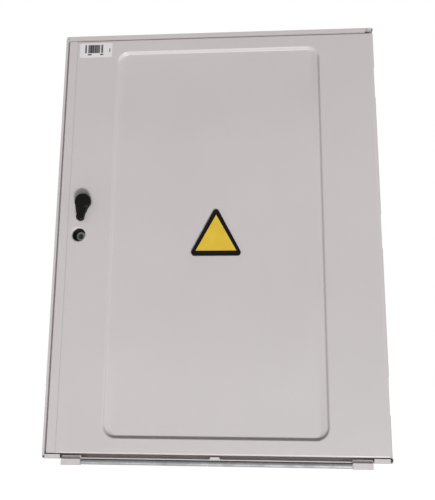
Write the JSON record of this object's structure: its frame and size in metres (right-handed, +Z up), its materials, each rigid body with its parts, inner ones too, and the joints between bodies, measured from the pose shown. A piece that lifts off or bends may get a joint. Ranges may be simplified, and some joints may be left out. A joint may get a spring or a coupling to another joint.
{
  "type": "electricity meter cabinet",
  "caption": "Wall-hung steel cabinet with a hinged pressed door, lever latch with rods and key lock, holding an electricity meter, main switch and breaker on a plate.",
  "frame": {"origin": "centre of the wall fixing holes, on the wall plane at the back of the shell", "axes": "+X to the right seen from the front, +Z up, +Y into the wall; the door faces -Y"},
  "size_m": [0.6, 0.218, 0.8105],
  "materials": {
    "shell_paint": "semi-gloss powder coat, pale warm grey",
    "door_paint": "semi-gloss powder coat, pale warm grey",
    "zinc_steel": "zinc plated",
    "bright_steel": "turned and polished",
    "brass_parts": "drawn bar",
    "black_plastic": "moulded, satin",
    "dark_plastic": "moulded, matt",
    "grey_plastic": "moulded, matt",
    "button_plastic": "moulded",
    "insulator_plastic": "moulded resin",
    "board": "lacquered board",
    "window_glass": "clear",
    "seal_rubber": "foam and moulded rubber",
    "plaque_black": "moulded",
    "plaque_yellow": "printed film",
    "label_white": "plain paper film",
    "wire_brown": "insulated copper",
    "wire_black": "insulated copper",
    "wire_grey": "insulated copper",
    "wire_blue": "insulated copper"
  },
  "bodies": {
    "cabinet": {"cabinet_body": "shell_paint", "seal_frame": "shell_paint", "base_rails": "shell_paint", "gland_plate": "shell_paint", "plate_studs": "zinc_steel", "mounting_plate": "zinc_steel", "plate_nuts": "zinc_steel", "meter_screws": "zinc_steel", "cover_screws": "zinc_steel", "din_rail": "zinc_steel", "gland_screws": "zinc_steel", "hinge_brackets": "zinc_steel", "bracket_screws": "zinc_steel", "bar_screws": "zinc_steel", "hinge_pins": "bright_steel", "earth_bar": "brass_parts", "neutral_bar": "brass_parts", "terminal_screws": "brass_parts", "meter_base": "dark_plastic", "terminal_block": "dark_plastic", "main_switch": "dark_plastic", "meter_cover": "grey_plastic", "terminal_cover": "grey_plastic", "breaker": "grey_plastic", "bar_insulators": "insulator_plastic", "meter_board": "board", "meter_window": "window_glass", "gland_gasket": "seal_rubber", "gland_plugs": "seal_rubber", "first_phase_wires": "wire_brown", "second_phase_wires": "wire_black", "third_phase_wires": "wire_grey", "neutral_wires": "wire_blue"},
    "door": {"door_skin": "door_paint", "door_gasket": "seal_rubber", "door_stiffener": "door_paint", "plaque_back": "plaque_black", "plaque_face": "plaque_yellow", "door_label": "label_white", "hinge_leaves": "zinc_steel", "leaf_screws": "zinc_steel", "handle_bush": "black_plastic", "bush_nut": "zinc_steel", "rod_guides": "black_plastic", "lock_cup": "black_plastic", "lock_barrel": "bright_steel"},
    "handle": {"handle_lever": "black_plastic", "handle_shaft": "bright_steel", "latch_cam": "zinc_steel", "cam_screw": "zinc_steel"},
    "upper_rod": {"upper_rod": "zinc_steel"},
    "lower_rod": {"lower_rod": "zinc_steel"},
    "lock": {"lock_plug": "bright_steel", "lock_cam": "zinc_steel", "lock_cam_screw": "zinc_steel"},
    "meter_button": {"meter_button": "button_plastic"},
    "main_toggle": {"main_toggle": "black_plastic"},
    "breaker_toggle": {"breaker_toggle": "black_plastic"}
  },
  "joints": [
    {"name": "door_swing", "type": "hinge", "parent": "cabinet", "child": "door", "pos_m": [0.2915, -0.187, 0], "axis": [0, 0, 1], "range_deg": [0, 110]},
    {"name": "handle_turn", "type": "hinge", "parent": "door", "child": "handle", "pos_m": [-0.2468, -0.2, 0.057], "axis": [0, -1, 0], "range_deg": [0, 90]},
    {"name": "upper_rod_slide", "type": "slide", "parent": "door", "child": "upper_rod", "axis": [0, 0, 1], "range_m": [0, 0.0198]},
    {"name": "lower_rod_slide", "type": "slide", "parent": "door", "child": "lower_rod", "axis": [0, 0, -1], "range_m": [0, 0.0198]},
    {"name": "key_turn", "type": "hinge", "parent": "door", "child": "lock", "pos_m": [-0.256, -0.175, -0.0024], "axis": [0, -1, 0], "range_deg": [0, 90]},
    {"name": "meter_button_press", "type": "slide", "parent": "cabinet", "child": "meter_button", "axis": [0, 1, 0], "range_m": [0, 0.0015], "stiffness_N_per_m": 400, "springref_m": -0.001},
    {"name": "main_toggle_tilt", "type": "hinge", "parent": "cabinet", "child": "main_toggle", "pos_m": [-0.13, -0.08, -0.18], "axis": [-1, 0, 0], "range_deg": [0, 40]},
    {"name": "breaker_toggle_tilt", "type": "hinge", "parent": "cabinet", "child": "breaker_toggle", "pos_m": [0.106, -0.092, -0.18], "axis": [-1, 0, 0], "range_deg": [0, 40]}
  ],
  "couplings": [
    {"joint": "handle_turn", "follows": "lower_rod_slide", "rad_per_m": 79.337},
    {"joint": "upper_rod_slide", "follows": "lower_rod_slide", "ratio": 1}
  ]
}
